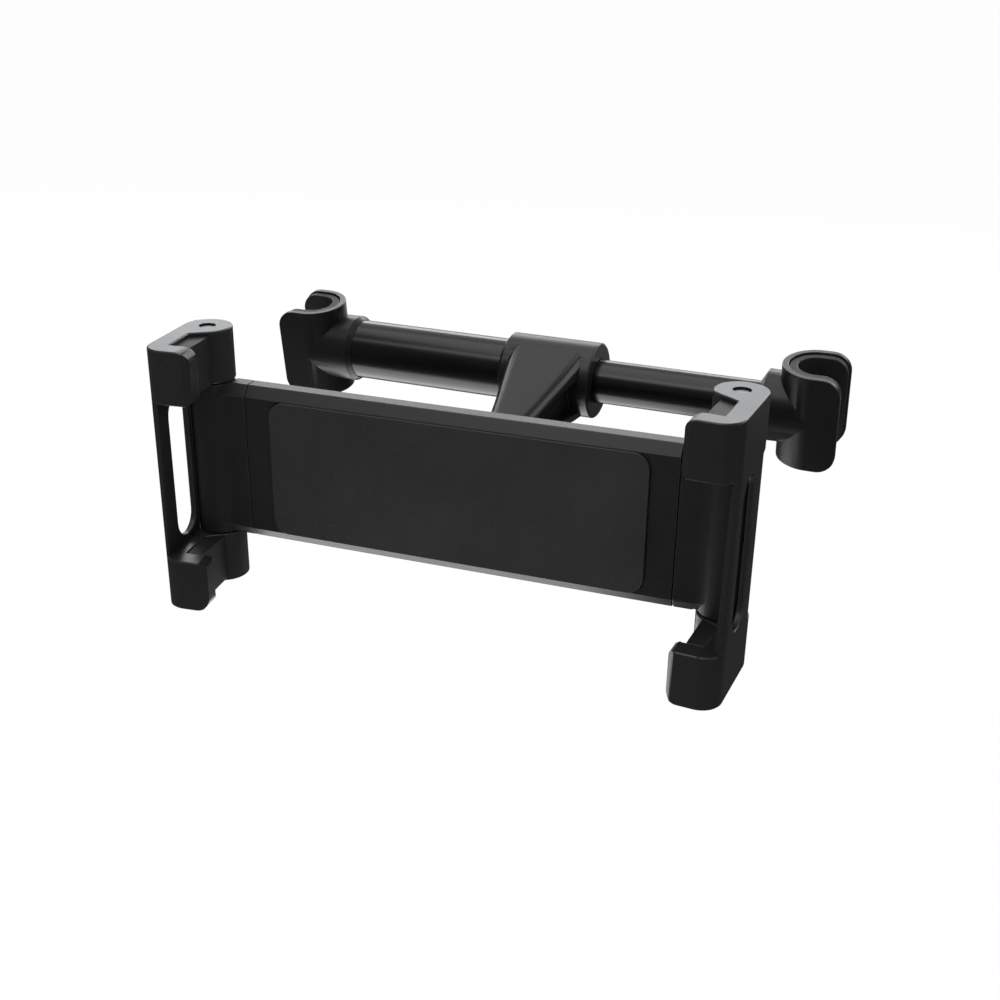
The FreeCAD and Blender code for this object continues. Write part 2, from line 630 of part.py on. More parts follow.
# Nut over the cup, with flutes for the hand
def ball_nut():
    nut = rod(NUT_OUTER, (0, NUT_START, 0), (0, NUT_SHOULDER, 0))
    nut = nut.fuse(cone(NUT_OUTER, NUT_END_RADIUS, (0, NUT_SHOULDER, 0), (0, NUT_END, 0)))
    nut = nut.cut(rod(NUT_BORE, (0, 0, 0), (0, CUP_END + NUT_END_GAP, 0)))
    nut = nut.cut(cup_cavity(0, THROUGH))
    mouth = BALL_Y + math.sqrt(CUP_SPHERE ** 2 - NUT_MOUTH ** 2)
    nut = nut.cut(cone(NUT_MOUTH, NUT_FLARE, (0, mouth, 0), (0, NUT_END, 0)))
    for k in range(FLUTES):
        angle = 2 * math.pi * (k + 0.5) / FLUTES
        x = (NUT_OUTER + FLUTE_OFFSET) * math.cos(angle)
        z = (NUT_OUTER + FLUTE_OFFSET) * math.sin(angle)
        nut = nut.cut(rod(FLUTE_RADIUS, (x, 0, z), (x, THROUGH, z)))
    return nut.removeSplitter()


# Everything below is drawn in the frame of the bar and then set on the ball
def place_bar(shape):
    placed = shape.copy()
    placed.translate(V(0, ARM_REACH, BALL_DROP))
    placed.rotate(V(0, 0, 0), V(1, 0, 0), REST_TILT)
    placed.rotate(V(0, 0, 0), V(0, 0, 1), REST_TURN)
    placed.translate(V(0, BALL_Y, 0))
    return placed


# Ball drawn with flats, its neck and the shank that is pressed in the arm
def ball_stud():
    step = math.radians(90.0 / BALL_FLATS)
    points = []
    for k in range(-BALL_FLATS, BALL_FLATS + 1):
        angle = step * k
        points.append((BALL_RADIUS * math.cos(angle), BALL_RADIUS * math.sin(angle)))
    ball = turned(points[:-1] + [(0.0, BALL_RADIUS)])
    neck = rod(STUD_NECK, (0, 0, 0), (0, ARM_NECK_GAP, 0))
    shank = rod(STUD_SHANK, (0, ARM_NECK_GAP, 0), (0, ARM_NECK_GAP + STUD_SHANK_LENGTH, 0))
    stud = fuse_all([ball, neck, shank])
    stud.translate(V(0, -ARM_REACH, -BALL_DROP))
    return stud


def arm_section(station, inset=0.0):
    y, half, low, high, corner = station
    half = half - inset
    points = []
    for sx, sz, turn in ((1, 1, 0), (-1, 1, 90), (-1, -1, 180), (1, -1, 270)):
        cx = sx * (half - corner)
        cz = high - corner if sz > 0 else low + corner
        for k in range(ARM_FLATS + 1):
            angle = math.radians(turn + 90.0 * k / ARM_FLATS)
            points.append(V(cx + corner * math.cos(angle), y, cz + corner * math.sin(angle)))
    return Part.makePolygon(points + points[:1])


# Tapering arm with a hollow in each side, and the collar it is cast with
def collar_arm():
    arm = Part.makeLoft([arm_section(s) for s in ARM_STATIONS], True, True)
    slim = Part.makeLoft([arm_section(s, POCKET_DEPTH) for s in ARM_STATIONS[1:]], True, True)
    for side in (-1, 1):
        arm = arm.cut(end_prism(POCKET, 0, side * THROUGH).cut(slim))
    body = fuse_all([
        arm, rod(COLLAR_RADIUS, (COLLAR_LEFT, 0, 0), (COLLAR_RIGHT, 0, 0)),
        cone(COLLAR_RADIUS, COLLAR_LEFT_RADIUS, (COLLAR_LEFT, 0, 0), (COLLAR_LEFT_END, 0, 0)),
        cone(COLLAR_RADIUS, COLLAR_RIGHT_RADIUS, (COLLAR_RIGHT, 0, 0), (COLLAR_RIGHT_END, 0, 0))])
    body = body.cut(rod(OUTER_TUBE_RADIUS, (-THROUGH, 0, 0), (COLLAR_RIGHT_END - COLLAR_LIP, 0, 0)))
    body = body.cut(rod(INNER_TUBE_RADIUS + MOUTH_GAP, (0, 0, 0), (THROUGH, 0, 0)))
    neck_end = -ARM_REACH + ARM_NECK_GAP
    body = body.cut(rod(STUD_SHANK, (0, -ARM_REACH, -BALL_DROP),
                        (0, neck_end + STUD_SHANK_LENGTH, -BALL_DROP)))
    body = body.cut(rod(SET_SCREW_RADIUS, (SET_SCREW_X, 0, 0), (SET_SCREW_X, THROUGH, 0)))
    return body.removeSplitter()


def set_screw(x, radius, inner, outer):
    screw = rod(radius, (x, inner, 0), (x, outer, 0))
    key = radius * HEX_SHARE
    hexagon = [(x + key * math.cos(math.radians(a)), key * math.sin(math.radians(a)))
               for a in range(0, 360, 60)]
    return screw.cut(front_prism(hexagon, outer - HEX_DEPTH, THROUGH))


def collar_screw():
    return set_screw(SET_SCREW_X, SET_SCREW_RADIUS, OUTER_TUBE_BORE, COLLAR_RADIUS - SET_SCREW_SINK)


def outer_tube():
    start = SOCKET_LEFT_MOUTH - SOCKET_DEPTH
    tube = rod(OUTER_TUBE_RADIUS, (start, 0, 0), (OUTER_TUBE_END, 0, 0))
    tube = tube.cut(rod(OUTER_TUBE_BORE, (-THROUGH, 0, 0), (THROUGH, 0, 0)))
    x = SOCKET_LEFT_MOUTH - HOOK_SCREW_INSET
    tube = tube.cut(rod(HOOK_SCREW_RADIUS, (x, 0, 0), (x, THROUGH, 0)))
    return tube.cut(rod(SET_SCREW_RADIUS, (SET_SCREW_X, 0, 0), (SET_SCREW_X, THROUGH, 0)))


def inner_tube():
    tube = rod(INNER_TUBE_RADIUS, (INNER_TUBE_START, 0, 0), (SOCKET_RIGHT_MOUTH + SOCKET_DEPTH, 0, 0))
    return tube.cut(rod(INNER_TUBE_RADIUS - INNER_TUBE_WALL, (-THROUGH, 0, 0), (THROUGH, 0, 0)))


def mouth_bush():
    bush = rod(OUTER_TUBE_BORE, (OUTER_TUBE_END - MOUTH_SLEEVE, 0, 0), (OUTER_TUBE_END, 0, 0))
    bush = bush.fuse(rod(OUTER_TUBE_RADIUS, (OUTER_TUBE_END, 0, 0), (COLLAR_RIGHT_END - COLLAR_LIP, 0, 0)))
    return bush.cut(rod(INNER_TUBE_RADIUS + RUNNING_FIT, (-THROUGH, 0, 0), (THROUGH, 0, 0))).removeSplitter()


def guide_bush():
    stop = OUTER_TUBE_END - MOUTH_SLEEVE - STOP_GAP
    bush = rod(OUTER_TUBE_BORE - RUNNING_FIT, (INNER_TUBE_START - GUIDE_CAP, 0, 0), (stop, 0, 0))
    bush = bush.cut(rod(INNER_TUBE_RADIUS, (INNER_TUBE_START, 0, 0), (THROUGH, 0, 0)))
    return bush.cut(rod(GUIDE_BORE, (-THROUGH, 0, 0), (THROUGH, 0, 0)))


# Compression spring of square wire between the bottom of the left socket and the guide bush
def bar_spring():
    half = SPRING_WIRE / 2
    start = SOCKET_LEFT_MOUTH - SOCKET_DEPTH + half + BAR_SPRING_FIT
    end = INNER_TUBE_START - GUIDE_CAP - half - BAR_SPRING_FIT
    steps = BAR_SPRING_TURNS * 4 * SPRING_FLATS
    rings = []
    for k in range(steps + 1):
        angle = 2 * math.pi * k / (4 * SPRING_FLATS)
        x = start + (end - start) * k / steps
        rings.append([V(x + b * half, (SPRING_RADIUS + a * half) * math.cos(angle),
                        (SPRING_RADIUS + a * half) * math.sin(angle))
                      for a, b in ((-1, -1), (1, -1), (1, 1), (-1, 1))])
    corners = [rings[0], rings[-1][::-1]]
    for near, far in zip(rings, rings[1:]):
        for k in range(4):
            n = (k + 1) % 4
            corners.append([near[n], near[k], far[k]])
            corners.append([near[n], far[k], far[n]])
    faces = [Part.Face(Part.makePolygon(ring + ring[:1])) for ring in corners]
    shell = Part.makeShell(faces)
    shell.sewShape()
    coil = Part.makeSolid(shell)
    if coil.Volume < 0:
        coil.reverse()
    return coil


# U-shaped hook, open outwards, drawn for the right side
def hook_prism(radius, reach, half_height, x):
    disc = rod(radius, (x, 0, -half_height), (x, 0, half_height))
    return disc.fuse(box(x, x + reach, -radius, radius, -half_height, half_height)).removeSplitter()


def hook_trim(x, half_height, reach, corner):
    block = box(x - THROUGH, x + reach, -THROUGH, THROUGH, -half_height, half_height)
    outer = [e for e in block.Edges
             if abs(e.tangentAt(e.FirstParameter).y) > 0.9 and e.BoundBox.XMin > x]
    return block.makeFillet(corner, outer)


def hook(x, mouth, tube_radius, lip_wall):
    throat = HOOK_RADIUS - HOOK_WALL
    shell = hook_prism(HOOK_RADIUS, HOOK_REACH, HOOK_HALF_HEIGHT, x)
    shell = shell.common(hook_trim(x, HOOK_HALF_HEIGHT, HOOK_REACH, HOOK_CORNER))
    socket = cone(SOCKET_MOUTH_RADIUS, HOOK_RADIUS, (mouth, 0, 0), (x, 0, 0))
    lip = cone(tube_radius + lip_wall, SOCKET_MOUTH_RADIUS, (mouth - SOCKET_LIP, 0, 0), (mouth, 0, 0))
    shell = fuse_all([shell, socket, lip])
    shell = shell.cut(hook_prism(throat, THROUGH, THROUGH, x))
    return shell.cut(rod(tube_radius, (0, 0, 0), (mouth + SOCKET_DEPTH, 0, 0)))


def hook_liner(x):
    height = HOOK_HALF_HEIGHT - LINER_SET_BACK
    reach = HOOK_REACH - LINER_SET_BACK
    liner = hook_prism(HOOK_RADIUS - HOOK_WALL - LINER_GAP, reach, height, x)
    liner = liner.common(hook_trim(x, height, reach, HOOK_CORNER - LINER_SET_BACK))
    return liner.cut(hook_prism(LINER_THROAT, THROUGH, THROUGH, x))


def hook_screw(x, inner):
    return set_screw(x, HOOK_SCREW_RADIUS, inner, SOCKET_MOUTH_RADIUS - 2 * SET_SCREW_SINK)


def right_hook():
    shell = hook(RIGHT_POST_X, SOCKET_RIGHT_MOUTH, INNER_TUBE_RADIUS, RIGHT_LIP_WALL)
    x = SOCKET_RIGHT_MOUTH + HOOK_SCREW_INSET
    return shell.cut(rod(HOOK_SCREW_RADIUS, (x, 0, 0), (x, THROUGH, 0)))


def left_hook():
    shell = mirror(hook(-LEFT_POST_X, -SOCKET_LEFT_MOUTH, OUTER_TUBE_RADIUS, LEFT_LIP_WALL))
    x = SOCKET_LEFT_MOUTH - HOOK_SCREW_INSET
    return shell.cut(rod(HOOK_SCREW_RADIUS, (x, 0, 0), (x, THROUGH, 0)))


export(tablet_pad(), "tablet_pad")
export(front_shell(), "front_shell")
export(rear_cover(), "rear_cover")
export(cover_screws(), "cover_screws")
export(sync_pinion(), "sync_pinion")
export(pinion_pin(), "pinion_pin")
export(return_spring(), "return_spring")
export(left_arm(), "left_arm")
export(right_arm(), "right_arm")

jaw_body = jaw()
for side, name in ((-1, "left"), (1, "right")):
    export(place_jaw(jaw_body, side), name + "_jaw")
    export(place_jaw(jaw_pin(), side), name + "_jaw_pin")
    export(place_jaw(insert(jaw_body, 1), side), name + "_upper_pad")
    export(place_jaw(insert(jaw_body, -1), side), name + "_lower_pad")

export(ball_liner(), "ball_liner")
export(ball_nut(), "ball_nut")

export(place_bar(ball_stud()), "ball_stud")
export(place_bar(collar_arm()), "collar_arm")
export(place_bar(collar_screw()), "collar_screw")
export(place_bar(outer_tube()), "outer_tube")
export(place_bar(inner_tube()), "inner_tube")
export(place_bar(mouth_bush()), "mouth_bush")
export(place_bar(guide_bush()), "guide_bush")
export(place_bar(bar_spring()), "bar_spring")
export(place_bar(left_hook()), "left_hook")
export(place_bar(right_hook()), "right_hook")
export(place_bar(mirror(hook_liner(-LEFT_POST_X))), "left_hook_liner")
export(place_bar(hook_liner(RIGHT_POST_X)), "right_hook_liner")
export(place_bar(hook_screw(SOCKET_LEFT_MOUTH - HOOK_SCREW_INSET, OUTER_TUBE_BORE)), "left_hook_screw")
export(place_bar(hook_screw(SOCKET_RIGHT_MOUTH + HOOK_SCREW_INSET, INNER_TUBE_RADIUS)), "right_hook_screw")
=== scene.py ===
import bpy
import bmesh
from math import radians, pi, cos, sin
from mathutils import Matrix, Vector


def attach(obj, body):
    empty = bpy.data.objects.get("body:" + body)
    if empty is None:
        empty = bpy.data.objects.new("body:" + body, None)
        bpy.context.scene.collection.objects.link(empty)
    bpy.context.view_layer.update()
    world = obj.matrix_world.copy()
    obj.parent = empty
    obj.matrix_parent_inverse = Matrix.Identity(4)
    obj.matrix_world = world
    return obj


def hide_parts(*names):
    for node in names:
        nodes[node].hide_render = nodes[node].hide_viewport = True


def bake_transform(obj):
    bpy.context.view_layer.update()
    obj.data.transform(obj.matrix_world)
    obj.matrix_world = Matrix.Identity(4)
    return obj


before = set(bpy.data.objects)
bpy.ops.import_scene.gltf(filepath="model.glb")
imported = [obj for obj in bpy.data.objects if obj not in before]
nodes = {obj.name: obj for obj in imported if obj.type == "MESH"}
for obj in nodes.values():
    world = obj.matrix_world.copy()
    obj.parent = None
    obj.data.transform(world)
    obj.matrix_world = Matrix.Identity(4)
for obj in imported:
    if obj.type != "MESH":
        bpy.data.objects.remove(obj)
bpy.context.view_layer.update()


# The photographer's camera
# A 47 mm lens held a little above the clamp and to its right, turned by less than
# one degree on its own axis.
camera_data = bpy.data.cameras.new("camera")
camera_data.lens = 47.325
camera_data.sensor_width = 36.0
camera_data.clip_start = 0.01
camera_data.clip_end = 200.0
camera = bpy.data.objects.new("camera", camera_data)
bpy.context.scene.collection.objects.link(camera)
to_right = Vector((0.940757, 0.338831, 0.013033))
to_top = Vector((-0.145893, 0.369774, 0.917596))
to_back = Vector((0.306091, -0.865136, 0.397300))
turned = Matrix((to_right, to_top, to_back)).transposed().to_4x4()
camera.matrix_world = Matrix.Translation((0.107010, -0.266723, 0.123639)) @ turned
bpy.context.scene.camera = camera


# The studio
# The mount hangs over a white sweep that is darker at the front and the right where the
# mount mirrors it. A long soft box stands behind, one hangs overhead, and weaker ones
# stand in front, below and at the right.
def new_node(tree, kind, **values):
    node = tree.nodes.new(kind)
    for socket, value in values.items():
        node.inputs[socket.replace("_", " ")].default_value = value
    return node


def multiplied(tree, first):
    node = tree.nodes.new("ShaderNodeMath")
    node.operation = "MULTIPLY"
    tree.links.new(first, node.inputs[0])
    return node


def either(tree, share, first, second):
    node = tree.nodes.new("ShaderNodeMixShader")
    tree.links.new(share, node.inputs["Fac"])
    tree.links.new(first.outputs[0], node.inputs[1])
    tree.links.new(second.outputs[0], node.inputs[2])
    return node


def faded(tree, place, start, end, dimmest):
    node = new_node(tree, "ShaderNodeMapRange", From_Min=start, From_Max=end, To_Min=dimmest, To_Max=1.0)
    node.interpolation_type = "SMOOTHSTEP"
    tree.links.new(place, node.inputs["Value"])
    return node.outputs["Result"]


def sweep_paint(name, colour, glow_share):
    made = bpy.data.materials.new(name)
    made.use_nodes = True
    tree = made.node_tree
    tree.nodes.clear()
    path = tree.nodes.new("ShaderNodeLightPath")
    matt = new_node(tree, "ShaderNodeBsdfDiffuse", Color=(*colour, 1))
    white = new_node(tree, "ShaderNodeEmission", Color=(1, 1, 1, 1), Strength=1.0)
    share = multiplied(tree, path.outputs["Is Camera Ray"])
    share.inputs[1].default_value = glow_share
    seen = either(tree, share.outputs[0], matt, white)
    place = tree.nodes.new("ShaderNodeTexCoord")
    apart = tree.nodes.new("ShaderNodeSeparateXYZ")
    tree.links.new(place.outputs["Object"], apart.inputs[0])
    level = multiplied(tree, faded(tree, apart.outputs["Y"], 0.45, 0.9, 0.07))
    tree.links.new(faded(tree, apart.outputs["X"], 0.50, 0.05, 0.08), level.inputs[1])
    mirrored = new_node(tree, "ShaderNodeEmission", Color=(1, 1, 1, 1))
    tree.links.new(level.outputs[0], mirrored.inputs["Strength"])
    both = either(tree, path.outputs["Is Glossy Ray"], seen, mirrored)
    out = tree.nodes.new("ShaderNodeOutputMaterial")
    tree.links.new(both.outputs[0], out.inputs["Surface"])
    return made


span = 60.0
floor_level = -0.16
floor_mesh = bpy.data.meshes.new("studio_floor")
floor_mesh.from_pydata([(-span, -span, floor_level), (span, -span, floor_level),
                        (span, span, floor_level), (-span, span, floor_level)], [], [(0, 1, 2, 3)])
floor = bpy.data.objects.new("studio_floor", floor_mesh)
bpy.context.scene.collection.objects.link(floor)
floor_mesh.materials.append(sweep_paint("pale_floor", (0.86, 0.86, 0.86), 0.97))

world = bpy.data.worlds.new("studio_air")
bpy.context.scene.world = world
world.use_nodes = True
air = world.node_tree
air.nodes.clear()
cool_white = (0.98, 0.99, 1.0, 1)
air_path = air.nodes.new("ShaderNodeLightPath")
air_light = new_node(air, "ShaderNodeBackground", Color=cool_white, Strength=0.6)
air_mirror = new_node(air, "ShaderNodeBackground", Color=cool_white, Strength=0.12)
air_seen = new_node(air, "ShaderNodeBackground", Color=(1, 1, 1, 1), Strength=1.0)
air_lit = either(air, air_path.outputs["Is Glossy Ray"], air_light, air_mirror)
air_mix = either(air, air_path.outputs["Is Camera Ray"], air_lit, air_seen)
air_out = air.nodes.new("ShaderNodeOutputWorld")
air.links.new(air_mix.outputs[0], air_out.inputs["Surface"])
world.cycles.sampling_method = "NONE"


def soft_box(name, place, aim, width, height, watts, tint=(1, 1, 1)):
    data = bpy.data.lights.new(name, "AREA")
    data.shape = "RECTANGLE"
    data.size = width
    data.size_y = height
    data.energy = watts
    data.color = tint
    lamp = bpy.data.objects.new(name, data)
    bpy.context.scene.collection.objects.link(lamp)
    lamp.location = place
    lamp.rotation_euler = (Vector(aim) - Vector(place)).to_track_quat("-Z", "Y").to_euler()
    lamp.visible_camera = False


soft_box("back_box", (-0.15, 0.98, 0.40), (0, 0.02, 0), 1.7, 0.36, 7.0, tint=(0.96, 0.98, 1.0))
soft_box("back_top_box", (-0.20, 0.70, 0.72), (0, 0.02, 0), 1.4, 0.42, 0.9)
soft_box("top_box", (-0.12, -0.02, 0.90), (-0.06, 0.0, 0), 1.1, 0.76, 4.0)
soft_box("front_top_box", (-0.20, -0.60, 0.80), (0, 0, 0), 0.8, 0.17, 1.1)
soft_box("low_box", (-0.09, 0.07, -0.155), (-0.09, 0.07, 0), 0.20, 0.22, 0.38)
soft_box("right_box", (0.95, 0.10, 0.20), (0, 0.03, 0), 0.4, 0.6, 0.36)
soft_box("right_top_box", (0.60, 0.46, 0.46), (0.02, 0.03, 0), 0.34, 0.30, 1.1)

bpy.context.scene.view_settings.view_transform = "Standard"


# Shells of the clamp body
# The front shell and the rear cover are moulded in black glass-filled nylon with a fine
# spark-eroded grain. The mould leaves each edge rounded by a few tenths of a millimetre,
# and these rounded edges are painted paler and made glossier, a painted highlight.
merge_distance = 2e-6
flat_angle = radians(0.6)
rounded_from = radians(33.0)
sharp_from = radians(31.0)
shown = {}


def merge_flats(shape):
    bmesh.ops.remove_doubles(shape, verts=shape.verts, dist=merge_distance)
    bmesh.ops.dissolve_limit(shape, angle_limit=flat_angle, verts=shape.verts, edges=shape.edges)


def clean_copy(name):
    shape = bmesh.new()
    shape.from_mesh(nodes[name].data)
    merge_flats(shape)
    shape.verts.index_update()
    mesh = bpy.data.meshes.new(name + "_shape")
    mesh.from_pydata([v.co[:] for v in shape.verts], [],
                     [[v.index for v in f.verts] for f in shape.faces])
    shape.free()
    return mesh


# An edge can be rounded when the faces beside it are deep enough, and when no short edge
# leaves one of its ends at an angle.
def has_room(edge, width):
    blunt_angle = radians(140)
    shortest, deepest = 1.3 * width, 2.02 * width
    start, end = [v.co for v in edge.verts]
    along = (end - start).normalized()
    for face in edge.link_faces:
        others = [other for other in face.edges if other is not edge]
        for other in others:
            shared = set(edge.verts) & set(other.verts)
            if shared:
                corner = shared.pop()
                one = edge.other_vert(corner).co - corner.co
                two = other.other_vert(corner).co - corner.co
                if one.angle(two, 0.0) < blunt_angle and two.length < shortest:
                    return False
        inward = face.normal.cross(along).normalized()
        for loop in face.loops:
            if loop.edge is edge and loop.vert is edge.verts[1]:
                inward = -inward
        ends = [(other.verts[0].co - start, other.verts[1].co - start) for other in others]
        for share in (0.12, 0.5, 0.88):
            reached = (end - start).length * share
            for near, far in ends:
                before, after = near.dot(along) - reached, far.dot(along) - reached
                if before * after > 0 or abs(after - before) < 1e-9:
                    continue
                crossing = before / (after - before)
                depth = near.dot(inward) - crossing * (far.dot(inward) - near.dot(inward))
                if 1e-7 < depth < deepest:
                    return False
    return True


def shaped(obj):
    depsgraph = bpy.context.evaluated_depsgraph_get()
    mesh = bpy.data.meshes.new_from_object(obj.evaluated_get(depsgraph))
    obj.modifiers.clear()
    obj.data = mesh
    return mesh


def is_level(face):
    return face.material_index == 0 and abs(face.normal.z) > 0.9999


# Fills a level end face again round the hole in it, so that no seam runs across.
def refill(shape, level):
    ends = [face for face in shape.faces
            if is_level(face) and all(abs(vert.co.z - level) < 1e-5 for vert in face.verts)]
    if not ends:
        return
    rim = [edge for edge in {e for face in ends for e in face.edges}
           if sum(face in ends for face in edge.link_faces) == 1]
    bmesh.ops.delete(shape, geom=ends, context="FACES_KEEP_BOUNDARY")
    made = bmesh.ops.triangle_fill(shape, use_beauty=True, use_dissolve=False,
                                   edges=[edge for edge in rim if edge.is_valid])
    for face in made["geom"]:
        if isinstance(face, bmesh.types.BMFace):
            face.material_index = 0
            if face.normal.z * level < 0:
                face.normal_flip()


def rounded(name, body, width, mesh=None, keep_sharp=None):
    mesh = mesh or clean_copy(name)
    shape = bmesh.new()
    shape.from_mesh(mesh)
    shape.normal_update()
    weight = shape.edges.layers.float.new("bevel_weight_edge")
    for edge in shape.edges:
        if len(edge.link_faces) != 2 or edge.calc_face_angle(0.0) < rounded_from:
            continue
        if keep_sharp and all(keep_sharp(v.co) for v in edge.verts):
            continue
        if has_room(edge, width):
            edge[weight] = 1.0
    shape.to_mesh(mesh)
    shape.free()
    mesh.materials.append(None)
    mesh.materials.append(None)
    obj = bpy.data.objects.new(name + "_shown", mesh)
    bpy.context.scene.collection.objects.link(obj)
    edges = obj.modifiers.new("edges", "BEVEL")
    edges.width = width
    edges.segments = 3
    edges.limit_method = "WEIGHT"
    edges.use_clamp_overlap = False
    edges.loop_slide = False
    edges.material = 1
    mesh = shaped(obj)
    shape = bmesh.new()
    shape.from_mesh(mesh)
    if keep_sharp:
        levels = [vert.co.z for vert in shape.verts]
        refill(shape, max(levels))
        refill(shape, min(levels))
        shape.normal_update()
    for edge in shape.edges:
        edge.smooth = len(edge.link_faces) == 2 and edge.calc_face_angle(0.0) < sharp_from
    for face in shape.faces:
        face.smooth = not (keep_sharp and is_level(face))
    shape.to_mesh(mesh)
    shape.free()
    even = obj.modifiers.new("even", "WEIGHTED_NORMAL")
    even.weight = 100
    even.keep_sharp = True
    shaped(obj)
    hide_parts(name)
    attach(obj, body)
    shown[name] = obj


tint_spread = 0.12
cloud_scale = 45.0
dust_share = 0.35
grain_depth = 0.0001


# A surface with a cloudy tint, pale dust in its grain, uneven gloss and the grain itself.
def finish(name, colour, rough, grain, grain_size, shine=0.5, metallic=0.0):
    darkest = (*(c * (1 - tint_spread) for c in colour), 1)
    palest = (*(c * (1 + tint_spread) for c in colour), 1)
    dust = (*(min(1.0, c * 1.5 + 0.002) for c in colour), 1)
    made = bpy.data.materials.new(name)
    made.use_nodes = True
    tree = made.node_tree
    link = tree.links.new
    shader = tree.nodes["Principled BSDF"]
    shader.inputs["Metallic"].default_value = metallic
    shader.inputs["Specular IOR Level"].default_value = shine
    where = tree.nodes.new("ShaderNodeTexCoord").outputs["Object"]
    cloud = new_node(tree, "ShaderNodeTexNoise", Scale=cloud_scale, Detail=4.0)
    link(where, cloud.inputs["Vector"])
    tint = tree.nodes.new("ShaderNodeValToRGB")
    for stop, position, shade in zip(tint.color_ramp.elements, (0.3, 0.7), (darkest, palest)):
        stop.position = position
        stop.color = shade
    link(cloud.outputs["Fac"], tint.inputs["Fac"])
    specks = new_node(tree, "ShaderNodeTexNoise", Scale=grain_size * 0.5, Detail=2.0)
    link(where, specks.inputs["Vector"])
    dusty = new_node(tree, "ShaderNodeMapRange", From_Min=0.60, From_Max=0.72, To_Min=0.0, To_Max=dust_share)
    link(specks.outputs["Fac"], dusty.inputs["Value"])
    mixed = tree.nodes.new("ShaderNodeMix")
    mixed.data_type = "RGBA"
    mixed.inputs["B"].default_value = dust
    link(dusty.outputs["Result"], mixed.inputs["Factor"])
    link(tint.outputs["Color"], mixed.inputs["A"])
    link(mixed.outputs["Result"], shader.inputs["Base Color"])
    haze = new_node(tree, "ShaderNodeMapRange", To_Min=rough - 0.04, To_Max=rough + 0.05)
    link(cloud.outputs["Fac"], haze.inputs["Value"])
    link(haze.outputs["Result"], shader.inputs["Roughness"])
    fine = new_node(tree, "ShaderNodeTexNoise", Scale=grain_size, Detail=3.0)
    link(where, fine.inputs["Vector"])
    bump = new_node(tree, "ShaderNodeBump", Strength=grain, Distance=grain_depth)
    link(fine.outputs["Fac"], bump.inputs["Height"])
    link(bump.outputs["Normal"], shader.inputs["Normal"])
    return made


# The second material covers the rounded edges, mostly a paler copy: a painted highlight.
def dress(material, edge_highlight_paint, *names):
    for name in names:
        if name in shown:
            shown[name].data.materials[0] = material
            shown[name].data.materials[1] = edge_highlight_paint
        else:
            nodes[name].data.materials.clear()
            nodes[name].data.materials.append(material)


shell_edge = 0.00018
rounded("front_shell", "clamp_body", shell_edge)
rounded("rear_cover", "clamp_body", shell_edge)
nylon_black = finish("black_glass_nylon", (0.0125, 0.0125, 0.0127), 0.40, 0.30, 2600.0, shine=0.42)
nylon_edge = finish("nylon_edge_painted_highlight", (0.022, 0.022, 0.0225), 0.27, 0.12, 1800.0)
dress(nylon_black, nylon_edge, "front_shell", "rear_cover")


# Screws
# Short screws of blackened steel: four hold the rear cover, and one set screw each sits
# in the sockets of the two hooks and in the collar.
black_steel = finish("blackened_steel", (0.03, 0.03, 0.032), 0.38, 0.12, 900.0, metallic=0.8)
dress(black_steel, black_steel, "cover_screws", "left_hook_screw", "right_hook_screw", "collar_screw")


# Sliding arms
# The two arms are moulded in the same nylon as the shells and slide out between them.
# Each has a head at the end of the body, with a barrel for the pin of its jaw.
rounded("left_arm", "left_side", shell_edge)
rounded("right_arm", "right_side", shell_edge)
dress(nylon_black, nylon_edge, "left_arm", "right_arm")


# Gear between the arms
# A pinion of natural nylon turns on a ground steel pin between the racks of both arms, so
# that they move together. A spiral spring of steel strip pulls the arms shut.
natural_nylon = finish("natural_nylon", (0.62, 0.60, 0.55), 0.45, 0.10, 900.0)
dress(natural_nylon, natural_nylon, "sync_pinion")
ground_steel = finish("ground_steel", (0.42, 0.42, 0.43), 0.30, 0.10, 900.0, metallic=1.0)
dress(ground_steel, ground_steel, "pinion_pin", "return_spring")


# Pad
# A die-cut sheet of dull rubber, glued in the recess of the front shell. Its edge is a
# little smoother than its face and painted a little paler, a painted highlight.
rounded("tablet_pad", "clamp_body", 0.00022)
pad_rubber = finish("dull_pad_rubber", (0.024, 0.024, 0.024), 0.60, 0.45, 1500.0, shine=0.35)
pad_edge = finish("pad_edge_rubber", (0.026, 0.026, 0.026), 0.50, 0.30, 1500.0, shine=0.4)
dress(pad_rubber, pad_edge, "tablet_pad")


# Jaws
# Each jaw is moulded in one piece: two blocks with lips, joined by a thin wall with a
# long slot in it. It turns on a pin through both blocks and the barrel of the arm.
mm = 0.001
pin_x, pin_y = 66.0, 4.6
pin_rim = 0.0026
toe_in = radians(5.34)
block_start = 20.33
wall_overlap = 0.4
wall_inner, wall_outer, wall_front = 4.5, 6.2, -20.4
corner_x, corner_y, corner_radius = 1.0, -17.85, 5.2
barrel_radius, barrel_first, barrel_last = 6.15, -radians(42.97), -0.0943
slot_radius, slot_front, slot_back, slot_reach = 4.8, -14.8, -5.2, 18.7


# Points are in millimetres from the pin: outwards, backwards and up.
def in_place(points, side):
    return [Vector((side * (pin_x + x * cos(toe_in) + y * sin(toe_in)),
                    pin_y - x * sin(toe_in) + y * cos(toe_in), z)) * mm for x, y, z in points]


def prism(near, far):
    count = len(near)
    faces = [tuple(range(count)), tuple(reversed(range(count, 2 * count)))]
    faces += [(k, k + count, (k + 1) % count + count, (k + 1) % count) for k in range(count)]
    mesh = bpy.data.meshes.new("wall_part")
    mesh.from_pydata([v[:] for v in near + far], [], faces)
    shape = bmesh.new()
    shape.from_mesh(mesh)
    bmesh.ops.recalc_face_normals(shape, faces=shape.faces)
    shape.to_mesh(mesh)
    shape.free()
    return mesh


def block_of(points, run, side):
    far = [(x + run[0], y + run[1], z + run[2]) for x, y, z in points]
    return prism(in_place(points, side), in_place(far, side))


